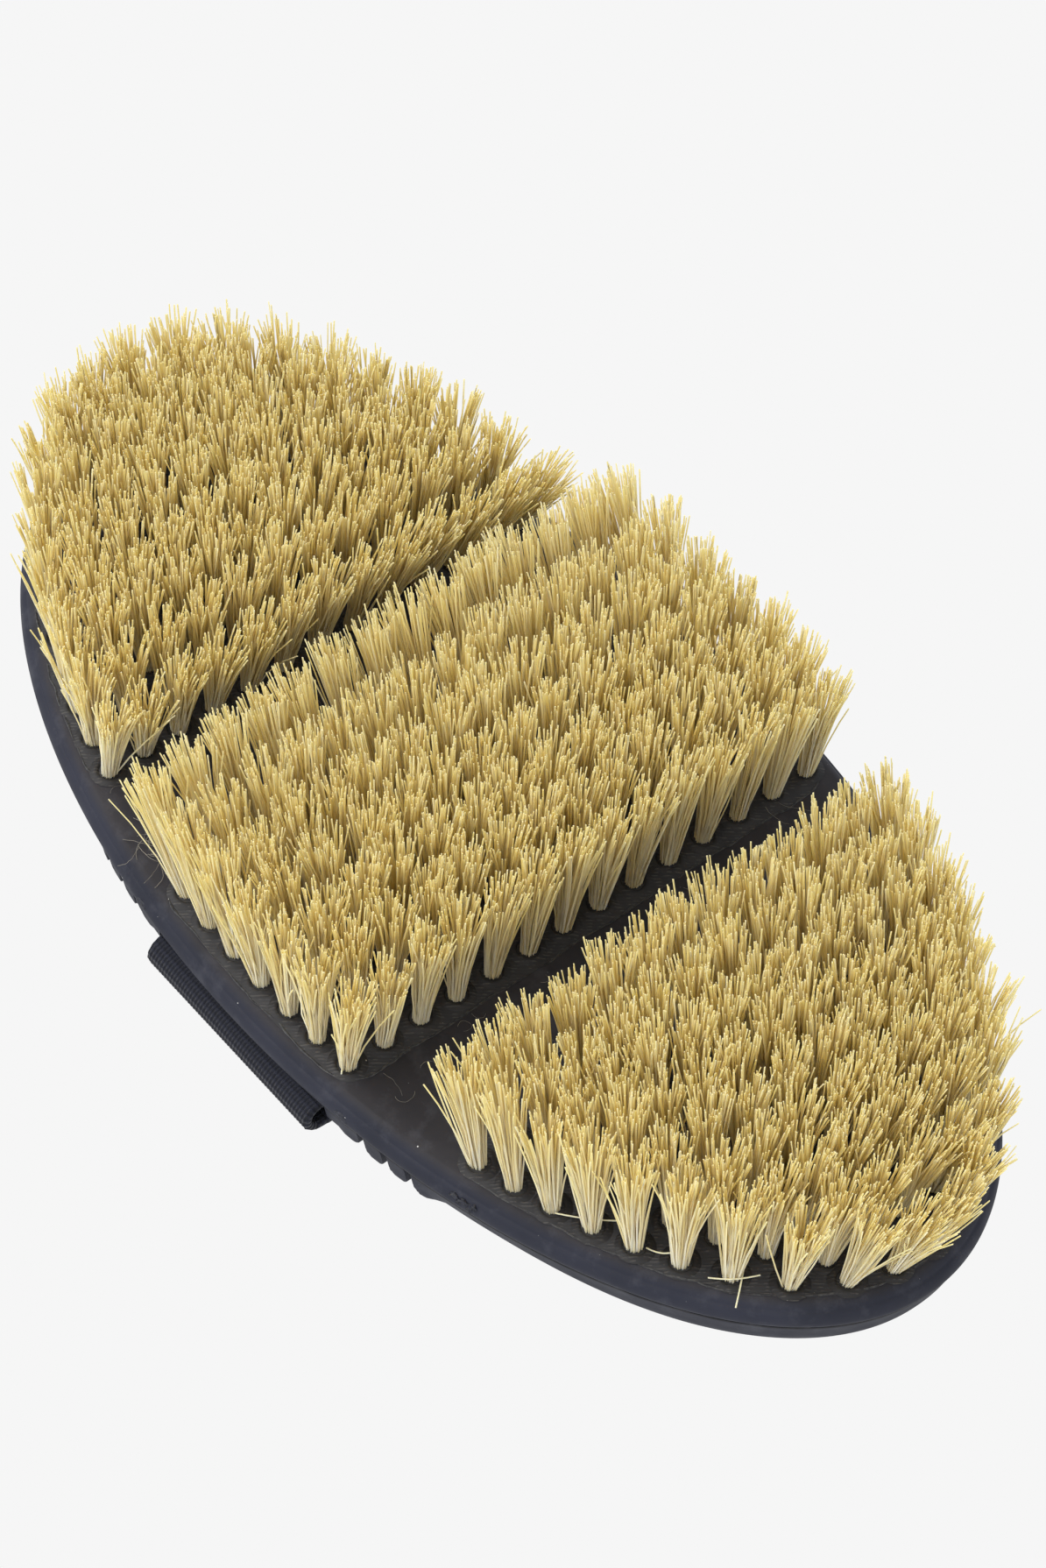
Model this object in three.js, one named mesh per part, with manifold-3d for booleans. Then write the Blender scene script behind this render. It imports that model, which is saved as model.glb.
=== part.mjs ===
// Horse body brush: a flexible rubber back that carries three bristle sections, with a webbing hand strap.
// Millimetres. +X runs from toe to heel, +Y across the brush, +Z the way the bristles point.
// Every height is measured from the bristle face. The exported group lifts the brush onto the plane it lies on.
import * as THREE from "three";
import { mergeVertices } from "three/addons/utils/BufferGeometryUtils.js";
import Module from "manifold-3d";

const wasm = await Module();
wasm.setup();

// Outline of the rubber back: an ellipse
const HALF_LENGTH = 105;
const HALF_WIDTH = 53.4;
const OUTLINE_STEPS = 60;
const CLEARANCE = 0.3;

// Rim profile, from the back up to the bristle face: how far inside the outline, and at what height
const RIM_PROFILE = [
  { inset: 3.8, z: -12.5 },
  { inset: 2.5, z: -11.2 },
  { inset: 0.7, z: -5.9 },
  { inset: 0.75, z: -5.3 },
  { inset: 0.2, z: -4.8 },
  { inset: 0, z: -3.7 },
  { inset: 0.4, z: -2.2 },
  { inset: 1.3, z: -1.2 },
  { inset: 2.8, z: 0 },
];

// Flex zones: three grooves across the back on each side of the middle section, with ribs between them
const HINGE_X = 33.7;
const HINGE_Z = -4;
const RIB_PITCH = 4.8;
const GROOVE_HALF_WIDTH = 0.65;
const GROOVE_ROOT_Z = -6;
const RIB_BOTTOM_Z = -11.3;
const PAD_BOTTOM_Z = -12.5;
const PAD_CORNER = 3;
const MIDDLE_BACK_Z = -9.2;
const RIDGE_BOTTOM_Z = -10.2;
const RIDGE_INNER_X = 24;
const SPLIT_HALF_GAP = 0.2;
const SPLIT_FACE_HALF_GAP = 1;

// Tuft plates, flush in the bristle face
const PLATE_INSET = 2.8;
const PLATE_THICKNESS = 5.5;
const PLATE_CORNER = 6;
const MIDDLE_PLATE_HALF = 24.2;
const END_PLATE_START = 43.2;

// Tufts: each stands in a blind hole and fans out towards its tip
const TUFT_HALF_LENGTH = 100;
const TUFT_HALF_WIDTH = 47.3;
const TUFT_PITCH = 7.13;
const BRISTLE_HEIGHT = 28;
const ROOT_DEPTH = 4.2;
const ROOT_HALF_WIDTH = 1.1;
const HOLE_HALF_WIDTH = 1.75;
const HOLE_DEPTH = 4.5;
const TUFT_OVERLAP = 0.2;
const ROW_GAP = 0.35;
const MIDDLE_ROWS = 7;
const MIDDLE_ROW_PITCH = 6.8;
const MIDDLE_SPREAD = 1.1;
const END_ROWS = 8;
const END_FIRST_ROW = 47;
const END_ROW_PITCH = 6.5;
const END_CENTRE = 73;
const END_SPREAD = 1.085;
const SIDE_SPREAD = 1.055;
const TIP_ROW_TUFTS = 4;
const TIP_ROW_SPREAD = 2.5;

// Hand strap: two webbing halves, each looped round a steel bar, joined by hook and loop patches
const WEBBING = 1.7;
const STRAP_HALF_WIDTH = 20.5;
const STRAP_TOP_Z = -7.1;
const BAR_RADIUS = 1.25;
const BAR_HALF_LENGTH = 26;
const BAR_Y = 39.5;
const EYE_INNER = BAR_RADIUS + CLEARANCE;
const EYE_OUTER = EYE_INNER + WEBBING;
const BAR_Z = STRAP_TOP_Z - EYE_OUTER;
const NEAR_BEND_RADIUS = 3.5;
const NEAR_BEND_Y = 50.4;
const NEAR_RUN_START_Y = 34;
const NEAR_RUN_BOTTOM_Z = -16.7;
const FAR_BEND_RADIUS = 6.7;
const FAR_BEND_Y = 46.7;
const STRAP_OVERLAP = 26;
const TAIL_END_Y = 45.4;
const PATCH_THICKNESS = 0.9;
const PATCH_HALF_WIDTH = 18;
const PATCH_HALF_LENGTH = 24;
const PATCH_GAP = 0.1;
const BEND_STEPS = 8;

// Recesses in the back for the strap ends, and the lugs that hold the bars
const RECESS_HALF_LENGTH = STRAP_HALF_WIDTH + 0.7;
const RECESS_START_Y = 35.5;
const LUG_END_X = 27.4;
const LUG_RADIUS = 2.5;
const BAR_SIDES = 12;

// The lowest point is the underside of the far strap half
const FACE_HEIGHT = 2 * FAR_BEND_RADIUS - STRAP_TOP_Z;

const rubber = new THREE.MeshStandardMaterial({ color: 0x3f424d, roughness: 0.75, metalness: 0 });
const plastic = new THREE.MeshStandardMaterial({ color: 0x343436, roughness: 0.6, metalness: 0 });
const bristle = new THREE.MeshStandardMaterial({ color: 0xd8c894, roughness: 0.7, metalness: 0 });
const webbing = new THREE.MeshStandardMaterial({ color: 0x1c1e2a, roughness: 0.9, metalness: 0 });
const patch = new THREE.MeshStandardMaterial({ color: 0x121319, roughness: 1, metalness: 0 });
const steel = new THREE.MeshStandardMaterial({ color: 0xb4b6b8, roughness: 0.35, metalness: 1 });

const ALONG_X = new THREE.Matrix4().makeBasis(
  new THREE.Vector3(0, 1, 0),
  new THREE.Vector3(0, 0, 1),
  new THREE.Vector3(1, 0, 0),
);
const ALONG_Y = new THREE.Matrix4().makeBasis(
  new THREE.Vector3(1, 0, 0),
  new THREE.Vector3(0, 0, 1),
  new THREE.Vector3(0, -1, 0),
);

const point = (x, y) => new THREE.Vector2(x, y);

function toSolid(geometry) {
  const bare = geometry.clone();
  bare.deleteAttribute("normal");
  bare.deleteAttribute("uv");
  const merged = mergeVertices(bare, 1e-4);
  return new wasm.Manifold(
    new wasm.Mesh({
      numProp: 3,
      vertProperties: new Float32Array(merged.attributes.position.array),
      triVerts: new Uint32Array(merged.index.array),
    }),
  );
}

function toMesh(name, solid, material) {
  const made = solid.getMesh();
  const geometry = new THREE.BufferGeometry();
  geometry.setAttribute("position", new THREE.BufferAttribute(new Float32Array(made.vertProperties), 3));
  geometry.setIndex(new THREE.BufferAttribute(new Uint32Array(made.triVerts), 1));
  geometry.computeVertexNormals();
  const mesh = new THREE.Mesh(geometry, material);
  mesh.name = name;
  return mesh;
}

// A prism whose section lies in the plane across the turned depth, centred on that plane
function prism(outline, halfDepth, turn) {
  const shape = outline instanceof THREE.Shape ? outline : new THREE.Shape(outline);
  const geometry = new THREE.ExtrudeGeometry(shape, { depth: 2 * halfDepth, bevelEnabled: false });
  geometry.translate(0, 0, -halfDepth);
  geometry.applyMatrix4(turn);
  return toSolid(geometry);
}

function slab(outline, bottomZ, topZ) {
  const geometry = new THREE.ExtrudeGeometry(new THREE.Shape(outline), {
    depth: topZ - bottomZ,
    bevelEnabled: false,
  });
  geometry.translate(0, 0, bottomZ);
  return toSolid(geometry);
}

function block(low, high) {
  const geometry = new THREE.BoxGeometry(high[0] - low[0], high[1] - low[1], high[2] - low[2]);
  geometry.translate((low[0] + high[0]) / 2, (low[1] + high[1]) / 2, (low[2] + high[2]) / 2);
  return toSolid(geometry);
}

// Points on an arc from one angle to another, in degrees
function arc(centreX, centreY, radius, from, to, steps) {
  const points = [];
  for (let i = 0; i <= steps; i++) {
    const angle = THREE.MathUtils.degToRad(from + ((to - from) * i) / steps);
    points.push(point(centreX + radius * Math.cos(angle), centreY + radius * Math.sin(angle)));
  }
  return points;
}

// A closed stack of polygon rings, each with the same number of points, listed from the bottom up
function stack(rings) {
  const count = rings[0].length;
  const positions = rings.flat().flatMap((p) => [p.x, p.y, p.z]);
  const indices = [];
  for (let level = 0; level + 1 < rings.length; level++) {
    for (let i = 0; i < count; i++) {
      const a = level * count + i;
      const b = level * count + ((i + 1) % count);
      indices.push(a, b, b + count, a, b + count, a + count);
    }
  }
  const top = (rings.length - 1) * count;
  for (let i = 1; i + 1 < count; i++) {
    indices.push(0, i + 1, i, top, top + i, top + i + 1);
  }
  const geometry = new THREE.BufferGeometry();
  geometry.setAttribute("position", new THREE.Float32BufferAttribute(positions, 3));
  geometry.setIndex(indices);
  return toSolid(geometry);
}

function rimRing({ inset, z }) {
  const ring = [];
  for (let i = 0; i < OUTLINE_STEPS; i++) {
    const angle = (2 * Math.PI * i) / OUTLINE_STEPS;
    const x = (HALF_LENGTH - inset) * Math.cos(angle);
    const y = (HALF_WIDTH - inset) * Math.sin(angle);
    ring.push(new THREE.Vector3(x, y, z));
  }
  return ring;
}

// The back's underside from the middle out to the heel: recess, ridge, grooves and ribs, end pad
function backProfile() {
  const ribHalf = RIB_PITCH / 2 - GROOVE_HALF_WIDTH;
  const firstGroove = HINGE_X - RIB_PITCH;
  const ridgeEnd = firstGroove - GROOVE_HALF_WIDTH;
  const points = [
    point(RIDGE_INNER_X - 1, MIDDLE_BACK_Z),
    point(RIDGE_INNER_X + 1, RIDGE_BOTTOM_Z),
    ...arc(ridgeEnd - ribHalf, RIDGE_BOTTOM_Z + ribHalf, ribHalf, -90, 0, 4),
    point(ridgeEnd, GROOVE_ROOT_Z),
  ];
  for (const ribX of [HINGE_X - RIB_PITCH / 2, HINGE_X + RIB_PITCH / 2]) {
    points.push(point(ribX - ribHalf, GROOVE_ROOT_Z));
    points.push(...arc(ribX, RIB_BOTTOM_Z + ribHalf, ribHalf, -180, 0, 6));
    points.push(point(ribX + ribHalf, GROOVE_ROOT_Z));
  }
  const padX = HINGE_X + RIB_PITCH + GROOVE_HALF_WIDTH;
  points.push(point(padX, GROOVE_ROOT_Z));
  points.push(...arc(padX + PAD_CORNER, PAD_BOTTOM_Z + PAD_CORNER, PAD_CORNER, 180, 270, 4));
  points.push(point(HALF_LENGTH + 1, PAD_BOTTOM_Z));
  return points;
}

function backBlank() {
  const heelSide = backProfile();
  const toeSide = heelSide.map((p) => point(-p.x, p.y)).reverse();
  const outline = [point(-HALF_LENGTH - 1, 1), ...toeSide, ...heelSide, point(HALF_LENGTH + 1, 1)];
  return stack(RIM_PROFILE.map(rimRing)).intersect(prism(outline, HALF_WIDTH + 1, ALONG_Y));
}

// The edge of a section where it meets the flex zone: narrow at the hinge line, wider above and below
function splitEdge(side) {
  return [
    point(HINGE_X + side * SPLIT_FACE_HALF_GAP, 1),
    point(HINGE_X + side * SPLIT_HALF_GAP, HINGE_Z),
    point(HINGE_X + side * GROOVE_HALF_WIDTH, GROOVE_ROOT_Z),
    point(HINGE_X + side * GROOVE_HALF_WIDTH, PAD_BOTTOM_Z - 1),
  ];
}

function middleBlock() {
  const heelEdge = splitEdge(-1);
  const toeEdge = heelEdge.map((p) => point(-p.x, p.y)).reverse();
  return prism([...heelEdge, ...toeEdge], HALF_WIDTH + 2, ALONG_Y);
}

function endBlock(side) {
  const outline = [
    ...splitEdge(1),
    point(HALF_LENGTH + 2, PAD_BOTTOM_Z - 1),
    point(HALF_LENGTH + 2, 1),
  ];
  return prism(outline.map((p) => point(side * p.x, p.y)), HALF_WIDTH + 2, ALONG_Y);
}

const mirrored = (half) => [...half, ...half.map((p) => point(p.x, -p.y)).reverse()];

// Height of the plate's elliptical edge at a distance along the brush
function plateEdge(x, grow) {
  const halfLength = HALF_LENGTH - PLATE_INSET + grow;
  const halfWidth = HALF_WIDTH - PLATE_INSET + grow;
  return halfWidth * Math.sqrt(Math.max(0, 1 - (x / halfLength) ** 2));
}

function middlePlateOutline(grow) {
  const cornerX = MIDDLE_PLATE_HALF + grow - PLATE_CORNER;
  const cornerY = plateEdge(cornerX, grow) - PLATE_CORNER;
  const half = arc(cornerX, cornerY, PLATE_CORNER, 0, 90, 5);
  const steps = 6;
  for (let i = 1; i < steps; i++) {
    const x = cornerX * (1 - (2 * i) / steps);
    half.push(point(x, plateEdge(x, grow)));
  }
  half.push(...arc(-cornerX, cornerY, PLATE_CORNER, 90, 180, 5));
  return mirrored(half);
}

function endPlateOutline(side, grow) {
  const tipX = HALF_LENGTH - PLATE_INSET + grow;
  const cornerX = END_PLATE_START - grow + PLATE_CORNER;
  const cornerY = plateEdge(cornerX, grow) - PLATE_CORNER;
  const half = arc(cornerX, cornerY, PLATE_CORNER, 180, 90, 5);
  const steps = 12;
  const cornerAngle = Math.acos(cornerX / tipX);
  for (let i = 1; i < steps; i++) {
    const x = tipX * Math.cos(cornerAngle * (1 - i / steps));
    half.push(point(x, plateEdge(x, grow)));
  }
  return mirrored(half).map((p) => point(side * p.x, p.y));
}

// One row of tufts: where each stands, how far its tip leans, and how wide the row is at the tips
function row(places, centreX, spreadX, halfAcross) {
  return places.map(({ x, y }) => ({
    x,
    y,
    leanX: (x - centreX) * (spreadX - 1),
    leanY: y * (SIDE_SPREAD - 1),
    halfX: halfAcross,
  }));
}

function straightRow(x) {
  const edge = TUFT_HALF_WIDTH * Math.sqrt(1 - (x / TUFT_HALF_LENGTH) ** 2);
  const count = Math.round((2 * edge) / TUFT_PITCH) + 1;
  return Array.from({ length: count }, (_, i) => ({ x, y: edge * ((2 * i) / (count - 1) - 1) }));
}

function tipRow() {
  return Array.from({ length: TIP_ROW_TUFTS }, (_, i) => {
    const y = (i - (TIP_ROW_TUFTS - 1) / 2) * TUFT_PITCH;
    return { x: TUFT_HALF_LENGTH * Math.sqrt(1 - (y / TUFT_HALF_WIDTH) ** 2), y };
  });
}

function middleRows() {
  const halfAcross = (MIDDLE_ROW_PITCH * MIDDLE_SPREAD - ROW_GAP) / 2;
  return Array.from({ length: MIDDLE_ROWS }, (_, i) => {
    const x = (i - (MIDDLE_ROWS - 1) / 2) * MIDDLE_ROW_PITCH;
    return row(straightRow(x), 0, MIDDLE_SPREAD, halfAcross);
  });
}

function endRows(side) {
  const halfAcross = (END_ROW_PITCH * END_SPREAD - ROW_GAP) / 2;
  const rows = Array.from({ length: END_ROWS }, (_, i) => {
    const last = i === END_ROWS - 1;
    const places = straightRow(END_FIRST_ROW + i * END_ROW_PITCH);
    return row(places, END_CENTRE, END_SPREAD, last ? TIP_ROW_SPREAD : halfAcross);
  });
  rows.push(row(tipRow(), END_CENTRE, END_SPREAD, TIP_ROW_SPREAD));
  return rows.map((tufts) => tufts.map((t) => ({ ...t, x: side * t.x, leanX: side * t.leanX })));
}

function rectangle(x, y, z, halfX, halfY) {
  return [
    new THREE.Vector3(x - halfX, y - halfY, z),
    new THREE.Vector3(x + halfX, y - halfY, z),
    new THREE.Vector3(x + halfX, y + halfY, z),
    new THREE.Vector3(x - halfX, y + halfY, z),
  ];
}

function tuft({ x, y, leanX, leanY, halfX }) {
  const back = ROOT_DEPTH / BRISTLE_HEIGHT;
  const halfY = (TUFT_PITCH * SIDE_SPREAD) / 2 + TUFT_OVERLAP;
  const rootX = x - leanX * back;
  const rootY = y - leanY * back;
  return stack([
    rectangle(rootX, rootY, -ROOT_DEPTH, ROOT_HALF_WIDTH, ROOT_HALF_WIDTH),
    rectangle(x + leanX, y + leanY, BRISTLE_HEIGHT, halfX, halfY),
  ]);
}

function tuftHole({ x, y }) {
  return stack([
    rectangle(x, y, -HOLE_DEPTH, HOLE_HALF_WIDTH, HOLE_HALF_WIDTH),
    rectangle(x, y, 1, HOLE_HALF_WIDTH, HOLE_HALF_WIDTH),
  ]);
}

const union = (solids) => solids.reduce((joined, next) => joined.add(next));

function tuftPlate(outline, rows) {
  const blank = slab(outline, -PLATE_THICKNESS, 0);
  return rows.flat().reduce((plate, place) => plate.subtract(tuftHole(place)), blank);
}

// Everything below is for one side of the brush: side is -1 for the near strap half, +1 for the far one
const acrossX = (outline, side, halfLength) =>
  prism(outline.map((p) => point(side * p.x, p.y)), halfLength, ALONG_X);

function strapEye(side) {
  const eye = new THREE.Shape(arc(side * BAR_Y, BAR_Z, EYE_OUTER, 0, 360, 20).slice(1));
  eye.holes.push(new THREE.Path(arc(side * BAR_Y, BAR_Z, EYE_INNER, 0, -360, BAR_SIDES).slice(1)));
  return prism(eye, STRAP_HALF_WIDTH, ALONG_X);
}

// The stitched tail under the run that leaves the eye
function strapTail(side) {
  const outline = [
    point(BAR_Y + EYE_INNER + 0.6, STRAP_TOP_Z - WEBBING + 0.2),
    point(BAR_Y + EYE_INNER + 0.6, STRAP_TOP_Z - 2 * WEBBING),
    point(TAIL_END_Y, STRAP_TOP_Z - 2 * WEBBING),
    point(TAIL_END_Y, STRAP_TOP_Z - WEBBING + 0.2),
  ];
  return acrossX(outline, side, STRAP_HALF_WIDTH);
}

// From its bar the near half turns round a tight bend, then drops to where it lies on the far half
function nearStrap() {
  const bendZ = STRAP_TOP_Z - NEAR_BEND_RADIUS;
  const outline = [
    point(BAR_Y, STRAP_TOP_Z),
    ...arc(NEAR_BEND_Y, bendZ, NEAR_BEND_RADIUS, 90, -90, 2 * BEND_STEPS),
    point(NEAR_RUN_START_Y, NEAR_RUN_BOTTOM_Z),
    point(-STRAP_OVERLAP, NEAR_RUN_BOTTOM_Z),
    point(-STRAP_OVERLAP, NEAR_RUN_BOTTOM_Z + WEBBING),
    point(NEAR_RUN_START_Y, NEAR_RUN_BOTTOM_Z + WEBBING),
    ...arc(NEAR_BEND_Y, bendZ, NEAR_BEND_RADIUS - WEBBING, -90, 90, 2 * BEND_STEPS),
    point(BAR_Y, STRAP_TOP_Z - WEBBING),
  ];
  const band = acrossX(outline, -1, STRAP_HALF_WIDTH);
  return band.add(strapEye(-1)).add(strapTail(-1));
}

function farStrapAnchor() {
  const outline = [
    point(BAR_Y, STRAP_TOP_Z),
    point(FAR_BEND_Y - CLEARANCE, STRAP_TOP_Z),
    point(FAR_BEND_Y - CLEARANCE, STRAP_TOP_Z - WEBBING),
    point(BAR_Y, STRAP_TOP_Z - WEBBING),
  ];
  return acrossX(outline, 1, STRAP_HALF_WIDTH).add(strapEye(1)).add(strapTail(1));
}

// The far half swings about the centre of its own bend
const FAR_BEND_Z = STRAP_TOP_Z - FAR_BEND_RADIUS;

function farStrapFlap() {
  const outline = [
    ...arc(FAR_BEND_Y, FAR_BEND_Z, FAR_BEND_RADIUS, 0, -90, BEND_STEPS),
    point(-STRAP_OVERLAP, FAR_BEND_Z - FAR_BEND_RADIUS),
    point(-STRAP_OVERLAP, FAR_BEND_Z - FAR_BEND_RADIUS + WEBBING),
    ...arc(FAR_BEND_Y, FAR_BEND_Z, FAR_BEND_RADIUS - WEBBING, -90, 0, BEND_STEPS),
  ];
  return acrossX(outline, 1, STRAP_HALF_WIDTH);
}

function closurePatch(topZ) {
  return block(
    [-PATCH_HALF_WIDTH, -PATCH_HALF_LENGTH, topZ - PATCH_THICKNESS],
    [PATCH_HALF_WIDTH, PATCH_HALF_LENGTH, topZ],
  );
}

function strapBar(side, radius, halfLength) {
  return prism(arc(side * BAR_Y, BAR_Z, radius, 0, 360, BAR_SIDES).slice(1), halfLength, ALONG_X);
}

function strapRecess(side) {
  const top = STRAP_TOP_Z + CLEARANCE;
  const outer = HALF_WIDTH + 2;
  const [low, high] = side < 0 ? [-outer, -RECESS_START_Y] : [RECESS_START_Y, outer];
  return block([-RECESS_HALF_LENGTH, low, PAD_BOTTOM_Z - 1], [RECESS_HALF_LENGTH, high, top]);
}

// A pair of lugs at the two ends of the recess, joined by nothing but the back above them
function barLugs(side) {
  const outline = [
    point(BAR_Y + LUG_RADIUS, MIDDLE_BACK_Z + 1),
    point(BAR_Y - LUG_RADIUS, MIDDLE_BACK_Z + 1),
    ...arc(BAR_Y, BAR_Z, LUG_RADIUS, 180, 360, 8),
  ];
  const inner = block(
    [-RECESS_HALF_LENGTH, -HALF_WIDTH, PAD_BOTTOM_Z - 2],
    [RECESS_HALF_LENGTH, HALF_WIDTH, 0],
  );
  return acrossX(outline, side, LUG_END_X).subtract(inner);
}

function middleRubber(blank) {
  let solid = blank.intersect(middleBlock());
  for (const side of [-1, 1]) {
    solid = solid.subtract(strapRecess(side));
    solid = solid.add(barLugs(side));
    solid = solid.subtract(strapBar(side, EYE_INNER, BAR_HALF_LENGTH + CLEARANCE));
  }
  return solid.subtract(platePocket(middlePlateOutline(CLEARANCE)));
}

const platePocket = (outline) => slab(outline, -PLATE_THICKNESS - CLEARANCE, 1);

function addSection(brush, name, solid, outline, rows) {
  brush.add(toMesh("rubber_" + name, solid, rubber));
  brush.add(toMesh("tuft_plate_" + name, tuftPlate(outline, rows), plastic));
  rows.forEach((tufts, i) => {
    brush.add(toMesh(`bristle_row_${name}_${i + 1}`, union(tufts.map(tuft)), bristle));
  });
}

function addStrap(brush) {
  const farTop = STRAP_TOP_Z - 2 * FAR_BEND_RADIUS + WEBBING;
  brush.add(toMesh("strap_near_half", nearStrap(), webbing));
  brush.add(toMesh("strap_far_anchor", farStrapAnchor(), webbing));
  brush.add(toMesh("strap_far_flap", farStrapFlap(), webbing));
  brush.add(toMesh("loop_patch", closurePatch(NEAR_RUN_BOTTOM_Z - PATCH_GAP), patch));
  brush.add(toMesh("hook_patch", closurePatch(farTop + PATCH_GAP + PATCH_THICKNESS), patch));
  brush.add(toMesh("strap_bar_near", strapBar(-1, BAR_RADIUS, BAR_HALF_LENGTH), steel));
  brush.add(toMesh("strap_bar_far", strapBar(1, BAR_RADIUS, BAR_HALF_LENGTH), steel));
}

function bodyBrush() {
  const brush = new THREE.Group();
  brush.position.z = FACE_HEIGHT;
  const blank = backBlank();
  addSection(brush, "middle", middleRubber(blank), middlePlateOutline(0), middleRows());
  for (const [name, side] of [["toe", -1], ["heel", 1]]) {
    const pocket = platePocket(endPlateOutline(side, CLEARANCE));
    const solid = blank.intersect(endBlock(side)).subtract(pocket);
    addSection(brush, name, solid, endPlateOutline(side, 0), endRows(side));
  }
  addStrap(brush);
  const part = new THREE.Group();
  part.add(brush);
  return part;
}

export default bodyBrush();
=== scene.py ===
"""A flexible horse body brush lying on its back, its bristles up: the looks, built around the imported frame.

Lengths are millimetres with heights measured from the bristle face, as in the CAD source, until place()
turns them into metres in the shared frame. X runs from the toe to the heel, and Y from the near side to the
far side.
"""

import math

import bmesh
import bpy
import numpy as np
from mathutils import Matrix, Vector

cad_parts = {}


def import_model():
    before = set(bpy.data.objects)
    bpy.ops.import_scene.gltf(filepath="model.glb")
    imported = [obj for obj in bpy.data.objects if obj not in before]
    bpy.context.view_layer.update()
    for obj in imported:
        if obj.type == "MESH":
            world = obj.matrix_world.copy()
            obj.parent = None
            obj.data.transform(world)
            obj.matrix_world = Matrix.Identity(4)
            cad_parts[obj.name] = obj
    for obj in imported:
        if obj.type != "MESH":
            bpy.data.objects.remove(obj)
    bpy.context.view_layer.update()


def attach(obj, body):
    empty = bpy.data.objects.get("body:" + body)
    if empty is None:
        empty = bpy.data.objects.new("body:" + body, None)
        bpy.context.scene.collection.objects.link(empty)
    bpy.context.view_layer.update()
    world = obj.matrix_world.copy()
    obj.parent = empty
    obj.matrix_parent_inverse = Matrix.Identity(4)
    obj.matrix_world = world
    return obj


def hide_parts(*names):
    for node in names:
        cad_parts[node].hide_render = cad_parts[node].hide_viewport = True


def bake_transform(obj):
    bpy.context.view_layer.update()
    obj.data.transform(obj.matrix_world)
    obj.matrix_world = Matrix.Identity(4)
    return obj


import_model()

# Rubber back
HALF_LENGTH = 105
HALF_WIDTH = 53.4
FACE_HEIGHT = 20.5
HINGE_X = 33.7
RIB_PITCH = 4.8
GROOVE_HALF = 0.65
GROOVE_ROOT = -6.0
RIB_BOTTOM = -11.3
PAD_BOTTOM = -12.5
PAD_CORNER = 3
MIDDLE_BACK = -9.2
RIDGE_BOTTOM = -10.2
RECESS_X = 21.2
RECESS_Y = 35.5
RECESS_ROOF = -6.8
UNDERSIDE_EDGE = 48
TURN_START = 46
TURN_END = 74
LUG_RADIUS = 2.1
LUG_START_X = RECESS_X
LUG_END_X = 27.4
LUG_ROUNDING = 0.35

# Rim section from the bristle face down to the back: how far inside the outline, and at what height
RIM = [
    (2.8, 0), (2.3, -0.18), (1.8, -0.5), (1.4, -0.92), (1.16, -1.3), (1.08, -1.55), (0.92, -1.66),
    (0.68, -1.8), (0.42, -2.15), (0.18, -2.7), (0.04, -3.3), (0, -3.8), (0.06, -4.3), (0.2, -4.7),
    (0.44, -4.98), (0.95, -5.12), (1.2, -5.3), (0.95, -5.48), (0.68, -5.62), (0.74, -6.0),
    (1.12, -6.8), (1.46, -7.6), (1.8, -8.4), (2.14, -9.2), (2.5, -10.2), (2.95, -11.0),
    (3.3, -11.6), (3.75, -12.15), (4.3, -12.45), (4.8, -12.5),
]
# The painted shade line along the seam under the rim's bead, and where the bead ends above it
SEAM_DEPTH = 5.65
SEAM_SHADE_HALF = 0.36
BEAD_END = -5.3
# The sloping band below the seam, and how much of its slope is taken out: along the ribs, and round the heel
BAND_TOP = -6
BAND_TOP_INSET = 0.78
BAND_FLARE = 0.55
HEEL_BAND_OUT = 0.25
# How much higher than on the back the grooves end at the rim
GROOVE_RISE = 1.3

# Tuft plates
PLATE_INSET = 2.8
PLATE_CORNER = 6
PLATE_PROUD = 0.12
PLATE_SUNK = -1.2
MIDDLE_PLATE_HALF = 24.2
END_PLATE_START = 43.2
# The lip round each tuft's root: radius and height
SOCKET_LIP = [(1.62, -0.4), (1.78, 0.1), (1.92, 0.34), (2.2, 0.42), (2.55, 0.32), (2.9, 0.16), (3.25, 0.0)]
SOCKET_SIDES = 18

# Tufts
TUFT_HALF_LENGTH = 100
TUFT_HALF_WIDTH = 47.3
TUFT_PITCH = 7.13
BRISTLE_HEIGHT = 28
BRISTLES_PER_TUFT = 92
CLUMPS_PER_TUFT = 9
TUFT_ROOT_RADIUS = 1.25
TUFT_ROOT_Z = -0.8
TUFT_FAN = 3.3
TIP_SCATTER = 0.55
STRAY_SHARE = 0.03
STRAY_SCATTER = 1.9
TUFT_DRIFT = 0.45
SHORTEST_TIP = 18
TALLEST_TIP = 30.2
BOW_SCATTER = 0.35
BOW_INWARD = 0.11
THINNEST_BRISTLE = 0.125
THICKEST_BRISTLE = 0.175
GOLDEN_ANGLE = 2.39996
MIDDLE_ROW_PITCH = 6.8
END_FIRST_ROW = 47
END_ROW_PITCH = 6.5

# How far the tips lean towards the heel. Each entry is a place along the brush, the lean in the middle of a
# row there, and how much more its far end leans and its near end less.
LEAN = {
    "toe": [
        (-100, -1.0, 0), (-86, -0.8, 0), (-73, 0.2, 0),
        (-60, 2.0, 0.3), (-53.5, 3.8, 0.8), (-47, 7.0, 1.5),
    ],
    "middle": [
        (-20.4, -8.8, -1.5), (-13.6, -4.4, -1.0), (-6.8, -2.0, -0.4), (0, -0.5, 0),
        (6.8, 0.9, -0.2), (13.6, 1.9, -0.4), (20.4, 3.3, -0.6),
    ],
    "heel": [
        (47, -3.9, -0.8), (53.5, -2.4, -0.3), (60, -1.1, 0), (73, 0.4, 0),
        (86, 2.8, 0), (92.5, 4.8, 0), (100, 7.6, 0),
    ],
}
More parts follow.
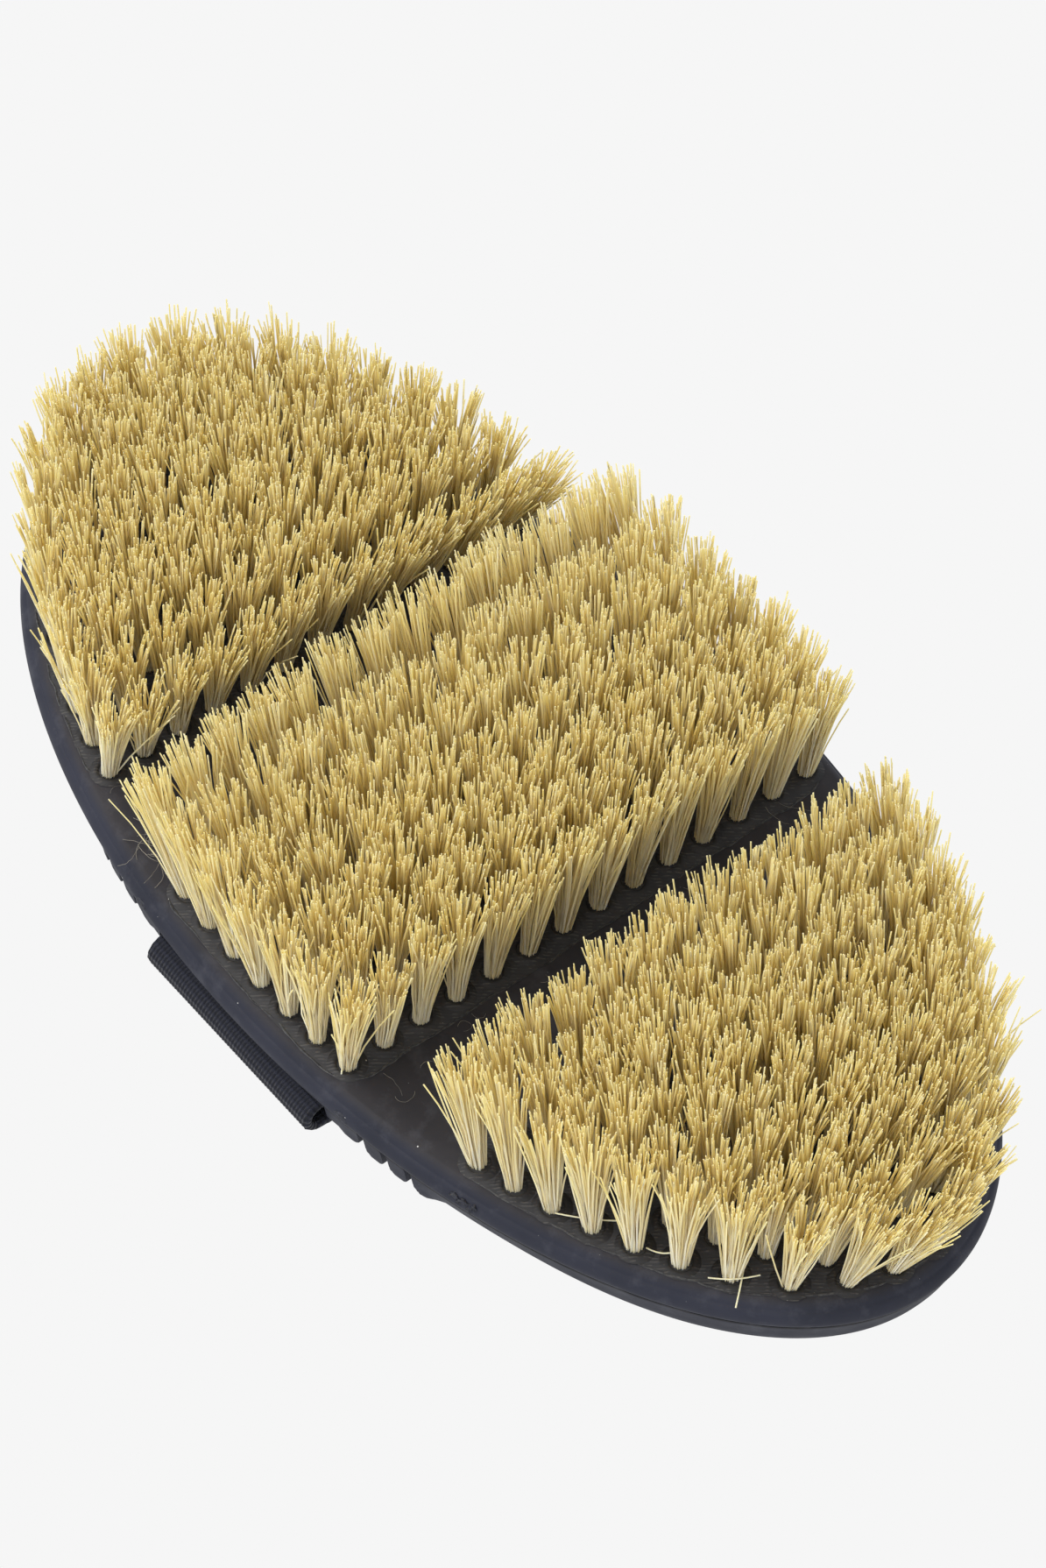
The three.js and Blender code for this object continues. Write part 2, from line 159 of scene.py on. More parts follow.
# How far they lean towards the far side: in the middle of a row, and how much more at its far end
SIDE_LEAN = {"toe": (-1.6, 1.2), "middle": (-0.7, 1.8), "heel": (-0.9, 1.6)}
# How much shorter the bristles stand at the outline
DOME = {"toe": 4.2, "middle": 2.2, "heel": 2.6}

# Hand strap
WEBBING = 1.7
STRAP_HALF = 20.5
NEAR_STRAP_OFF = -0.5
SELVEDGE = 0.6
KNIT_PITCH = 0.68
KNIT_HEIGHT = 0.05
WEFT_PITCH = 0.95
WEFT_RIDGE_PITCH = 1.15
WEFT_RIDGE_HEIGHT = 0.09
STRAP_TOP = -7.1
BAR_RADIUS = 1.25
BAR_HALF = 26
BAR_Y = 39.5
EYE_TAIL_Y = 45.4
EYE_MID = BAR_RADIUS + 0.3 + WEBBING / 2
BAR_Z = STRAP_TOP - WEBBING / 2 - EYE_MID
NEAR_BEND_Y = 50.7
NEAR_BEND_RADIUS = 3.5
NEAR_RUN_START = 34
NEAR_RUN_BOTTOM = -16.7
FAR_BEND_Y = 46.7
FAR_BEND_RADIUS = 6.7
FAR_RUN_BOTTOM = STRAP_TOP - 2 * FAR_BEND_RADIUS
STRAP_OVERLAP = 26
STITCH_PITCH = 2.6
PATCH_THICKNESS = 0.9
PATCH_HALF_WIDTH = 18
PATCH_HALF_LENGTH = 24
HOOK_PITCH_X = 1.5
HOOK_PITCH_Y = 1.6

# The place of the dark lumps that paint the shade of pits in the rim over the bar's ends, and the height of
# loose hairs on the face
PIT_X = 25.2
HAIR_HEIGHT = 0.22

# Camera in metres in the shared frame, with its roll in degrees
CAMERA_AT = (0.4689, -0.4129, 0.8760)
CAMERA_AIM = (-0.00504, 0.00894, 0.0205)
CAMERA_ROLL = 3.41
LENS = 153.7
BACKDROP = (246, 246, 246)

draw = np.random.default_rng(417)


def srgb(r, g, b):
    """A linear colour from 0-255 display values."""
    values = []
    for v in (r, g, b):
        c = v / 255
        values.append(c / 12.92 if c <= 0.04045 else ((c + 0.055) / 1.055) ** 2.4)
    return (*values, 1)


def place(points):
    return (np.asarray(points, float) + (0, 0, FACE_HEIGHT)) * 0.001


def build(name, points, faces, material, sharp=40, attributes=None, weld=False):
    """A mesh object in the shared frame, smooth but for edges sharper than that many degrees."""
    mesh = bpy.data.meshes.new(name)
    mesh.from_pydata(place(points).tolist(), [], [list(f) for f in faces])
    for key, values in (attributes or {}).items():
        layer = mesh.attributes.new(key, "FLOAT", "POINT")
        layer.data.foreach_set("value", np.asarray(values, np.float32))
    if weld:
        edit = bmesh.new()
        edit.from_mesh(mesh)
        bmesh.ops.remove_doubles(edit, verts=edit.verts, dist=2e-6)
        bmesh.ops.recalc_face_normals(edit, faces=edit.faces)
        edit.to_mesh(mesh)
        edit.free()
    mesh.materials.append(material)
    mesh.polygons.foreach_set("use_smooth", np.ones(len(mesh.polygons), bool))
    mesh.set_sharp_from_angle(angle=math.radians(sharp))
    mesh.validate()
    thing = bpy.data.objects.new(name, mesh)
    bpy.context.scene.collection.objects.link(thing)
    return thing


class Pieces:
    """Points and faces of several bodies gathered into one mesh."""

    def __init__(self):
        self.points = []
        self.faces = []
        self.count = 0

    def add(self, points, faces):
        points = np.asarray(points, float)
        self.points.append(points)
        self.faces.extend([[i + self.count for i in f] for f in faces])
        self.count += len(points)

    def all_points(self):
        return np.concatenate(self.points)


def grid_faces(rows, columns, closed_rows=False, closed_columns=False):
    faces = []
    for i in range(rows if closed_rows else rows - 1):
        for j in range(columns if closed_columns else columns - 1):
            a = i * columns + j
            b = i * columns + (j + 1) % columns
            c = ((i + 1) % rows) * columns
            faces.append([a, b, c + (j + 1) % columns, c + j])
    return faces


def skin_faces(rings, count):
    """Faces of a closed skin over rings of count points each, with a cap on both ends."""
    first_of_last = (rings - 1) * count
    caps = [list(range(count))[::-1], [first_of_last + i for i in range(count)]]
    return grid_faces(rings, count, closed_columns=True) + caps


def tube(path, radii, sides=6, closed=False):
    """A round tube along a path, with a radius at each of its points."""
    path = np.asarray(path, float)
    radii = np.broadcast_to(np.asarray(radii, float), (len(path),))
    if closed:
        tangent = np.roll(path, -1, 0) - np.roll(path, 1, 0)
    else:
        tangent = np.gradient(path, axis=0)
    tangent /= np.linalg.norm(tangent, axis=1)[:, None] + 1e-12
    up = np.where(np.abs(tangent[:, 2:3]) > 0.9, [[1.0, 0, 0]], [[0, 0, 1.0]])
    side = np.cross(tangent, up)
    side /= np.linalg.norm(side, axis=1)[:, None] + 1e-12
    over = np.cross(side, tangent)
    angle = np.arange(sides) * 2 * math.pi / sides
    ring = side[:, None] * np.cos(angle)[None, :, None] + over[:, None] * np.sin(angle)[None, :, None]
    points = (path[:, None] + ring * radii[:, None, None]).reshape(-1, 3)
    if closed:
        return points, grid_faces(len(path), sides, closed_rows=True, closed_columns=True)
    return points, skin_faces(len(path), sides)


def smooth_path(points, step):
    """A smooth curve through the given points, resampled at about that step."""
    p = np.asarray(points, float)
    p = np.concatenate([[2 * p[0] - p[1]], p, [2 * p[-1] - p[-2]]])
    out = []
    for i in range(1, len(p) - 2):
        count = max(2, int(np.linalg.norm(p[i + 1] - p[i]) / step))
        for t in np.arange(count) / count:
            a = 2 * p[i]
            b = (p[i + 1] - p[i - 1]) * t
            c = (2 * p[i - 1] - 5 * p[i] + 4 * p[i + 1] - p[i + 2]) * t**2
            d = (3 * p[i] - p[i - 1] - 3 * p[i + 1] + p[i + 2]) * t**3
            out.append((a + b + c + d) / 2)
    out.append(p[-2])
    return np.array(out)


def arc(centre_y, centre_z, radius, start, end, steps):
    angles = np.radians(np.linspace(start, end, steps + 1))
    return [(centre_y + radius * math.cos(a), centre_z + radius * math.sin(a)) for a in angles]


# Materials

# The phase of a wave texture is the place times its scale times this
WAVE_PHASE = 20


class Material:
    """A node material with its Principled shader at hand. Its textures follow the object's coordinates."""

    def __init__(self, name):
        self.made = bpy.data.materials.new(name)
        self.made.use_nodes = True
        self.nodes = self.made.node_tree.nodes
        self.links = self.made.node_tree.links
        self.shader = self.nodes["Principled BSDF"]
        self.where = self.node("ShaderNodeTexCoord").outputs["Object"]

    def node(self, kind, inputs=None, **settings):
        made = self.nodes.new(kind)
        for key, value in settings.items():
            setattr(made, key, value)
        for key, value in (inputs or {}).items():
            self.feed(made.inputs[key], value)
        return made

    def feed(self, socket, value):
        if isinstance(value, bpy.types.NodeSocket):
            self.links.new(value, socket)
        else:
            socket.default_value = value

    def noise(self, size, detail=3, roughness=0.55, where=None):
        """Noise whose features are about that many millimetres across."""
        inputs = {
            "Vector": where or self.where, "Scale": 1000 / size, "Detail": detail, "Roughness": roughness,
        }
        return self.node("ShaderNodeTexNoise", inputs).outputs["Fac"]

    def ramp(self, value, *stops):
        ramp = self.node("ShaderNodeValToRGB", {"Fac": value})
        elements = ramp.color_ramp.elements
        while len(elements) < len(stops):
            elements.new(0.5)
        for element, (position, colour) in zip(elements, stops):
            element.position = position
            element.color = colour if len(colour) == 4 else (*colour, 1)
        return ramp.outputs["Color"]

    def grey_ramp(self, value, *stops):
        return self.ramp(value, *[(p, (v, v, v, 1)) for p, v in stops])

    def math(self, operation, a, b=0.0):
        return self.node("ShaderNodeMath", {0: a, 1: b}, operation=operation).outputs[0]

    def mix(self, factor, a, b):
        node = self.node("ShaderNodeMix", data_type="RGBA")
        self.feed(node.inputs[0], factor)
        self.feed(node.inputs[6], a)
        self.feed(node.inputs[7], b)
        return node.outputs[2]

    def attribute(self, name):
        return self.node("ShaderNodeAttribute", attribute_name=name).outputs["Fac"]

    def bump(self, height, strength, distance, under=None):
        inputs = {"Height": height, "Strength": strength, "Distance": distance * 0.001}
        if under is not None:
            inputs["Normal"] = under
        return self.node("ShaderNodeBump", inputs).outputs["Normal"]

    def finish(self, colour, roughness, normal=None, **uniform):
        self.feed(self.shader.inputs["Base Color"], colour)
        self.feed(self.shader.inputs["Roughness"], roughness)
        if normal is not None:
            self.feed(self.shader.inputs["Normal"], normal)
        for key, value in uniform.items():
            self.shader.inputs[key.replace("_", " ")].default_value = value
        return self.made

    def bands(self, pitch, turn=0.0, distortion=0.0):
        """Straight bands that pitch apart in millimetres, turned about Z by that many degrees."""
        rotation = (0, 0, math.radians(turn))
        turned = self.node("ShaderNodeMapping", {"Vector": self.where, "Rotation": rotation})
        per_metre = 1000 / pitch
        inputs = {
            "Vector": turned.outputs[0], "Scale": per_metre * 2 * math.pi / WAVE_PHASE,
            "Distortion": distortion, "Detail": 1.0, "Detail Scale": 1.0,
        }
        return self.node("ShaderNodeTexWave", inputs, wave_type="BANDS", bands_direction="X").outputs["Fac"]

    def specks(self, spacing, share, size):
        """1 in small round specks, one in some of the cells that lie about that many millimetres apart."""
        inputs = {"Vector": self.where, "Scale": 1000 / spacing, "Randomness": 1.0}
        cells = self.node("ShaderNodeTexVoronoi", inputs)
        near = self.math("LESS_THAN", cells.outputs["Distance"], size / spacing)
        chosen = self.node("ShaderNodeSeparateColor", {"Color": cells.outputs["Color"]}).outputs[0]
        return self.math("MULTIPLY", near, self.math("LESS_THAN", chosen, share))


def rubber_material():
    m = Material("rubber")
    cloud = m.noise(14, 4)
    fine = m.noise(0.5, 3, 0.6)
    wear_and_sheen = m.attribute("wear_and_sheen")
    # The plain rubber, and a bluer tint over the rim's rounding and the band below the bead: partly rubbed
    # wear, partly a painted sheen
    dark = m.ramp(cloud, (0.3, srgb(38, 37, 41)), (0.7, srgb(48, 46, 50)))
    pale = m.ramp(cloud, (0.3, srgb(32, 34, 44)), (0.7, srgb(42, 44, 56)))
    colour = m.mix(wear_and_sheen, dark, pale)
    # A dark line of painted shade runs along the seam under the bead. It is placed by its height at rest, so
    # on a flexed section the dark line crosses the rubber
    height = m.node("ShaderNodeSeparateXYZ", {"Vector": m.where}).outputs["Z"]
    seam_height = (FACE_HEIGHT - SEAM_DEPTH) * 0.001
    from_seam = m.math("MULTIPLY", m.math("ABSOLUTE", m.math("SUBTRACT", height, seam_height)), 1000)
    # Painted shade: darkest within that half width of the seam's height
    seam_shade = m.grey_ramp(from_seam, (SEAM_SHADE_HALF, 0.85), (SEAM_SHADE_HALF + 0.14, 0.0))
    colour = m.mix(seam_shade, colour, srgb(12, 12, 15))
    smudge = m.grey_ramp(m.noise(5, 5, 0.65), (0.52, 0.0), (0.75, 0.3))
    colour = m.mix(smudge, colour, srgb(84, 85, 93))
    colour = m.mix(m.specks(3.2, 0.3, 0.13), colour, srgb(178, 178, 176))
    colour = m.mix(m.specks(1.5, 0.25, 0.05), colour, srgb(150, 150, 150))
    roughness = m.grey_ramp(m.noise(6, 4), (0.3, 0.58), (0.7, 0.74))
    waves = m.bump(m.noise(9, 3), 0.25, 0.35)
    normal = m.bump(fine, 0.25, 0.06, waves)
    return m.finish(colour, roughness, normal, Specular_IOR_Level=0.24)


def plate_material():
    m = Material("tuft_plate")
    cloud = m.noise(10, 4)
    broken = m.grey_ramp(m.noise(1.3, 2), (0.35, 0.2), (0.6, 1.0))
    hatch = m.math("MULTIPLY", m.bands(0.62, 38, 1.2), broken)
    lines = m.grey_ramp(hatch, (0.62, 0.0), (0.9, 1.0))
    base = m.ramp(cloud, (0.3, srgb(30, 30, 33)), (0.7, srgb(42, 41, 43)))
    colour = m.mix(m.math("MULTIPLY", lines, 0.4), base, srgb(88, 85, 82))
    colour = m.mix(m.specks(2.4, 0.3, 0.11), colour, srgb(170, 168, 162))
    colour = m.mix(m.specks(1.1, 0.25, 0.05), colour, srgb(140, 138, 134))
    roughness = m.grey_ramp(m.noise(4, 3), (0.3, 0.55), (0.7, 0.7))
    normal = m.bump(hatch, 0.35, 0.08, m.bump(m.noise(7, 3), 0.2, 0.3))
    return m.finish(colour, roughness, normal, Specular_IOR_Level=0.4)


def flash_material():
    m = Material("moulding_flash")
    colour = m.ramp(m.noise(0.8, 4, 0.7), (0.4, srgb(42, 42, 46)), (0.62, srgb(72, 72, 72)))
    return m.finish(colour, 0.62, m.bump(m.noise(0.4, 3), 0.6, 0.1), Specular_IOR_Level=0.4)


def bristle_material():
    m = Material("bristle")
    tone = m.attribute("tone")
    along = m.attribute("along")
    # Painted light and shade along each bristle: paler towards the root and deeper yellow towards the tip,
    # set for how the depth and the tops of the tufts look
    low = m.ramp(tone, (0.0, srgb(232, 212, 160)), (0.5, srgb(241, 229, 186)), (1.0, srgb(248, 242, 214)))
    high = m.ramp(tone, (0.0, srgb(231, 209, 132)), (0.5, srgb(239, 222, 152)), (1.0, srgb(246, 236, 182)))
    colour = m.mix(m.grey_ramp(along, (0.15, 0.0), (0.9, 1.0)), low, high)
    colour = m.mix(m.grey_ramp(along, (0.975, 0.0), (1.0, 0.12)), colour, srgb(250, 242, 196))
    streak = m.node("ShaderNodeMapping", {"Vector": m.where, "Scale": (1.0, 1.0, 0.05)}).outputs[0]
    grain = m.noise(0.25, 2, where=streak)
    colour = m.mix(m.grey_ramp(grain, (0.35, 0.14), (0.6, 0.0)), colour, srgb(196, 168, 96))
    normal = m.bump(grain, 0.2, 0.03)
    m.finish(colour, 0.72, normal, Specular_IOR_Level=0.2, Subsurface_Weight=0.5, Subsurface_Scale=0.0012)
    m.shader.inputs["Subsurface Radius"].default_value = (1.0, 0.8, 0.42)
    return m.made


def webbing_material():
    m = Material("webbing")
    across = m.attribute("across")
    along = m.attribute("along")
    weft = m.math("SINE", m.math("MULTIPLY", along, 2 * math.pi / WEFT_PITCH))
    across_turns = m.math("MULTIPLY", across, 2 * math.pi / KNIT_PITCH)
    warp = m.math("SINE", m.math("ADD", across_turns, m.math("MULTIPLY", along, 1.1)))
    knots = m.math("ADD", m.math("MULTIPLY", weft, 0.5), m.math("MULTIPLY", warp, 0.45))
    lift = m.grey_ramp(m.math("ADD", m.math("MULTIPLY", knots, 0.5), 0.5), (0.15, 0.0), (0.85, 1.0))
    fibre = m.noise(0.22, 3, 0.7)
    colour = m.mix(lift, srgb(9, 10, 18), srgb(28, 30, 42))
    colour = m.mix(m.grey_ramp(fibre, (0.45, 0.0), (0.7, 0.25)), colour, srgb(54, 57, 72))
    normal = m.bump(fibre, 0.4, 0.06, m.bump(lift, 0.9, 0.3))
    return m.finish(colour, 0.82, normal, Sheen_Weight=0.08, Sheen_Roughness=0.5, Specular_IOR_Level=0.25)


def thread_material():
    m = Material("thread")
    colour = m.ramp(m.noise(0.3, 2), (0.35, srgb(34, 36, 50)), (0.65, srgb(66, 69, 86)))
    return m.finish(colour, 0.7, m.bump(m.noise(0.2, 2), 0.3, 0.05), Sheen_Weight=0.2)


def patch_material():
    m = Material("hook_and_loop")
    fuzz = m.noise(0.5, 5, 0.75)
    colour = m.ramp(fuzz, (0.35, srgb(16, 17, 24)), (0.7, srgb(58, 60, 74)))
    return m.finish(colour, 0.9, m.bump(fuzz, 0.8, 0.35), Sheen_Weight=0.4, Specular_IOR_Level=0.2)


def steel_material():
    m = Material("steel")
    drawn = m.node("ShaderNodeMapping", {"Vector": m.where, "Scale": (0.05, 1.0, 1.0)}).outputs[0]
    scratch = m.noise(0.4, 3, where=drawn)
    colour = m.ramp(scratch, (0.3, srgb(150, 151, 154)), (0.7, srgb(196, 197, 199)))
    roughness = m.grey_ramp(scratch, (0.3, 0.24), (0.7, 0.42))
    return m.finish(colour, roughness, m.bump(scratch, 0.15, 0.03), Metallic=1.0)


def lint_material():
    m = Material("lint")
    colour = m.ramp(m.noise(3, 2), (0.35, srgb(92, 88, 82)), (0.65, srgb(142, 137, 126)))
    return m.finish(colour, 0.85)


# Dark rubber for the heel's rough blemish, used also for the painted shade of the pits over the bar's ends
def mark_material():
    m = Material("pit_shade_and_blemish")
    colour = m.ramp(m.noise(0.7, 4, 0.7), (0.35, srgb(16, 17, 24)), (0.65, srgb(42, 44, 56)))
    return m.finish(colour, 0.6, m.bump(m.noise(0.5, 3), 0.6, 0.15))


RUBBER = rubber_material()
PLATE = plate_material()
FLASH = flash_material()
BRISTLE = bristle_material()
WEB = webbing_material()
THREAD = thread_material()
PATCH = patch_material()
STEEL = steel_material()
LINT = lint_material()
MARK = mark_material()


# Rubber back


def ease(value, start, end):
    """A smooth step from 0 at start to 1 at end."""
    t = np.clip((value - start) / (end - start), 0, 1)
    return t * t * (3 - 2 * t)


def half_width(x, inset):
    """Half the brush's width at x, for its outline pulled in by inset."""
    return (HALF_WIDTH - inset) * np.sqrt(np.maximum(0, 1 - (x / (HALF_LENGTH - inset)) ** 2))


def back_columns():
    """Stations along one half, each with the height of the back there: ridge, grooves, ribs and pad."""
    rib_half = RIB_PITCH / 2 - GROOVE_HALF
    ridge_end = HINGE_X - RIB_PITCH - GROOVE_HALF
    flat = (0, 4, 8, 12, 16, 20, RECESS_X - 0.02, RECESS_X + 0.02, 22, 23)
    stations = [(x, MIDDLE_BACK) for x in flat]
    stations += [(24, -9.75), (25, RIDGE_BOTTOM)]
    stations += arc(ridge_end - rib_half, RIDGE_BOTTOM + rib_half, rib_half, -90, 0, 7)
    for rib in (HINGE_X - RIB_PITCH / 2, HINGE_X + RIB_PITCH / 2):
        stations += groove_root(rib - rib_half - GROOVE_HALF)
        stations += arc(rib, RIB_BOTTOM + rib_half, rib_half, -180, 0, 12)
    stations += groove_root(HINGE_X + RIB_PITCH)
    pad_x = HINGE_X + RIB_PITCH + GROOVE_HALF
    stations += arc(pad_x + PAD_CORNER, PAD_BOTTOM + PAD_CORNER, PAD_CORNER, 180, 270, 8)
    last = math.acos((pad_x + PAD_CORNER) / HALF_LENGTH)
    stations += [(HALF_LENGTH * math.cos(last * (1 - i / 64)), PAD_BOTTOM) for i in range(1, 65)]
    return stations


def groove_root(x):
    radius = GROOVE_HALF - 0.03
    return arc(x, GROOVE_ROOT - radius, radius, 180, 0, 8)


def rim_points(x, bottom, side, turn):
    """The rim at one station as (x, y, height, tint), the tint being rubbed wear and a painted sheen. The
    back has that bottom height there.
    """
    recessed = x < RECESS_X
    in_groove = bottom > GROOVE_ROOT - GROOVE_HALF - 0.1
    rim_floor = bottom + GROOVE_RISE if in_groove and not recessed else bottom
    floor = max(bottom, RECESS_ROOF) if recessed else rim_floor
    # The band stands out further at the ends of the ribs than over the grooves between them
    flare = BAND_FLARE * float(ease(x, 44, 40)) if x > RECESS_X and rim_floor == bottom else 0
    points = []
    for inset, z in RIM:
        if z < BAND_TOP:
            if side > 0:
                inset -= HEEL_BAND_OUT * (inset - BAND_TOP_INSET) * float(ease(x, 50, 88))
            inset -= flare * (inset - BAND_TOP_INSET)
        ring_x = x * (1 - turn * inset / HALF_LENGTH)
        # How much of the rim's bluer tint this point takes, partly rubbed wear and partly painted sheen: it
        # grows over the rounding and is full from the bead down
        wear_and_sheen = float(ease(inset, 2.6, 1.0)) if z > BEAD_END else 1.0
        points.append((ring_x, float(half_width(ring_x, inset)), max(z, floor), wear_and_sheen))
    return points


def back_section(x, bottom, side):
    """Half a cross-section of the back as (x, y, height, tint of rubbed wear and painted sheen): the face,
    the rim, then the underside.
    """
    # Towards the tip the section turns, so that its points stay that far inside the outline
    turn = float(ease(x, TURN_START, TURN_END))
    face_x = x * (1 - turn * RIM[0][0] / HALF_LENGTH)
    face_edge = float(half_width(face_x, RIM[0][0]))
    section = [(face_x, share * face_edge, 0, 0.0) for share in (0, 0.25, 0.5, 0.75, 0.92)]
    section += rim_points(x, bottom, side, turn)
    last_x, last_y = section[-1][:2]
    for row in (42.5, RECESS_Y + 0.03, RECESS_Y - 0.03, 24, 12, 0):
        y = min(row, last_y * 0.995) if last_y > UNDERSIDE_EDGE else row * last_y / UNDERSIDE_EDGE
        under = RECESS_ROOF if x < RECESS_X and y > RECESS_Y else bottom
        section.append((last_x, y, under, 0.2))
    return section


def back_half(side):
    """One half of the rubber back, from the middle to the toe or the heel, as a closed skin."""
    points, wear_and_sheen = [], []
    stations = back_columns()
    for x, bottom in stations:
        section = back_section(x, bottom, side)
        ring = section + [(a, -b, c, d) for a, b, c, d in section[-2:0:-1]]
        points += [(side * a, b, c) for a, b, c, d in ring]
        wear_and_sheen += [d for a, b, c, d in ring]
    count = len(ring)
    faces = grid_faces(len(stations), count, closed_columns=True)
    faces.append(list(range(count)))
    return points, faces, wear_and_sheen


def lug(x0, x1, y):
    """A rounded lug that holds one end of a strap bar, rooted in the back above it."""
    section = arc(y, BAR_Z, LUG_RADIUS, 180, 360, 16)
    section += [(y + LUG_RADIUS, MIDDLE_BACK + 1.5), (y - LUG_RADIUS, MIDDLE_BACK + 1.5)]
    inner = [(y + (a - y) * 0.86, BAR_Z + (b - BAR_Z) * 0.9) for a, b in section]
    rings = [(x0, inner), (x0 + LUG_ROUNDING, section), (x1 - LUG_ROUNDING, section), (x1, inner)]
    points = [(x, a, b) for x, ring in rings for a, b in ring]
    return points, skin_faces(len(rings), len(section))


def rubber_back():
    for side, section in ((-1, "toe"), (1, "heel")):
        points, faces, wear_and_sheen = back_half(side)
        pieces = Pieces()
        pieces.add(points, faces)
        for y in (-BAR_Y, BAR_Y):
            pieces.add(*lug(*sorted((side * LUG_START_X, side * LUG_END_X)), y))
        wear_and_sheen = list(wear_and_sheen) + [0.3] * (pieces.count - len(wear_and_sheen))
        name = "rubber_back_" + section
        back = build(name, pieces.all_points(), pieces.faces, RUBBER, 38, {"wear_and_sheen": wear_and_sheen}, weld=True)
        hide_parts("rubber_" + section, *(["rubber_middle"] if side < 0 else []))
        bend_with_back(back)


def bend_with_back(thing):
    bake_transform(thing)


# Tuft plates


def plate_width(x):
    return float(half_width(x, PLATE_INSET))


def middle_plate_outline():
    corner_x = MIDDLE_PLATE_HALF - PLATE_CORNER
    corner_y = plate_width(corner_x) - PLATE_CORNER
    half = arc(corner_x, corner_y, PLATE_CORNER, 0, 90, 10)
    half += [(x, plate_width(x)) for x in np.linspace(corner_x, -corner_x, 24)[1:-1]]
    half += arc(-corner_x, corner_y, PLATE_CORNER, 90, 180, 10)
    return half + [(x, -y) for x, y in half[::-1]]


def end_plate_outline(side):
    tip = HALF_LENGTH - PLATE_INSET
    corner_x = END_PLATE_START + PLATE_CORNER
    corner_y = plate_width(corner_x) - PLATE_CORNER
    half = arc(corner_x, corner_y, PLATE_CORNER, 180, 90, 10)
    last = math.acos(corner_x / tip)
    curve = [tip * math.cos(a) for a in np.linspace(last, 0, 50)[1:-1]]
    half += [(x, plate_width(x)) for x in curve]
    half.append((tip, 0))
    outline = half + [(x, -y) for x, y in half[-2::-1]]
    return [(side * x, y) for x, y in outline]


def pulled_in(outline, distance):
    """A closed outline moved inwards by that distance."""
    p = np.array(outline)
    tangent = np.roll(p, -1, 0) - np.roll(p, 1, 0)
    normal = np.stack([tangent[:, 1], -tangent[:, 0]], 1)
    normal /= np.linalg.norm(normal, axis=1)[:, None] + 1e-12
    area = np.sum(p[:, 0] * np.roll(p[:, 1], -1) - np.roll(p[:, 0], -1) * p[:, 1])
    return p - normal * distance * np.sign(area)


def tuft_socket(x, y):
    """The raised lip round the root of the tuft at x, y, a little out of round and out of level."""
    squeeze = 1 + draw.uniform(-0.05, 0.08)
    tilt = draw.uniform(-0.1, 0.1, 2)
    points = []
    for radius, z in SOCKET_LIP:
        for k in range(SOCKET_SIDES):
            a = 2 * math.pi * k / SOCKET_SIDES
            dx, dy = radius * squeeze * math.cos(a), radius * math.sin(a)
            points.append((x + dx, y + dy, z + PLATE_PROUD - 0.02 + (tilt[0] * dx + tilt[1] * dy) * 0.25))
    return points, grid_faces(len(SOCKET_LIP), SOCKET_SIDES, closed_columns=True)


def tuft_plate(name, outline, tufts, body):
    pieces = Pieces()
    levels = [(0.25, PLATE_SUNK), (0.0, PLATE_SUNK + 0.25), (0.0, PLATE_PROUD - 0.1), (0.12, PLATE_PROUD)]
    points = []
    for inset, z in levels:
        points += [(x, y, z) for x, y in pulled_in(outline, inset)]
    pieces.add(points, skin_faces(len(levels), len(outline)))
    for x, y, *_ in tufts:
        pieces.add(*tuft_socket(x, y))
    plate = build("plate_" + name, pieces.all_points(), pieces.faces, PLATE, 45, weld=True)
    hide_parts("tuft_plate_" + name)
    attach(plate, body)
    flash_line(name, outline, body)


def flash_line(name, outline, body):
    """The thin wavy line of moulding flash where the plate meets the rubber."""
    closed = np.array(list(outline) + [outline[0]])
    lengths = np.concatenate([[0], np.cumsum(np.linalg.norm(np.diff(closed, axis=0), axis=1))])
    s = np.arange(0, lengths[-1], 0.55)
    path = np.stack([np.interp(s, lengths, closed[:, 0]), np.interp(s, lengths, closed[:, 1])], 1)
    wander = wobble(len(s), 9) * 0.16 + wobble(len(s), 2) * 0.07
    line = pulled_in(path, 0) + (path - pulled_in(path, 1)) * wander[:, None]
    radii = np.clip(0.13 + 0.05 * wobble(len(s), 3) + 0.04 * draw.random(len(s)), 0.05, 0.3)
    raised = np.column_stack([line, np.full(len(s), PLATE_PROUD - 0.04)])
    points, faces = tube(raised, radii, 5, closed=True)
    flash = build("flash_" + name, points, faces, FLASH, 60)
    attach(flash, body)


def wobble(count, width):
    """Smooth random values of about unit size that repeat end to end."""
    kernel = np.hanning(2 * width + 3)
    values = draw.standard_normal(count)
    padded = np.resize(kernel, count) * (np.arange(count) < len(kernel))
    smooth = np.real(np.fft.ifft(np.fft.fft(values) * np.fft.fft(padded)))
    return smooth / (smooth.std() + 1e-9)


# Tufts of bristle


def straight_row(x):
    """Places of the tufts in the row across the brush at x."""
    edge = TUFT_HALF_WIDTH * math.sqrt(1 - (x / TUFT_HALF_LENGTH) ** 2)
    count = round(2 * edge / TUFT_PITCH) + 1
    return [(x, edge * (2 * i / (count - 1) - 1)) for i in range(count)]


def leaning(places, section):
    """Each tuft with the lean of its tip along and across the brush, and how short it stands."""
    at, along, far = np.array(LEAN[section]).T
    side, side_far = SIDE_LEAN[section]
    tufts = []
    for x, y in places:
        out = y / TUFT_HALF_WIDTH
        edge = (x / TUFT_HALF_LENGTH) ** 2 + out**2
        lean_x = float(np.interp(x, at, along) + np.interp(x, at, far) * out)
        tufts.append((x, y, lean_x, side + side_far * out, DOME[section] * edge**1.5))
    return tufts


def middle_rows():
    return [leaning(straight_row((i - 3) * MIDDLE_ROW_PITCH), "middle") for i in range(7)]


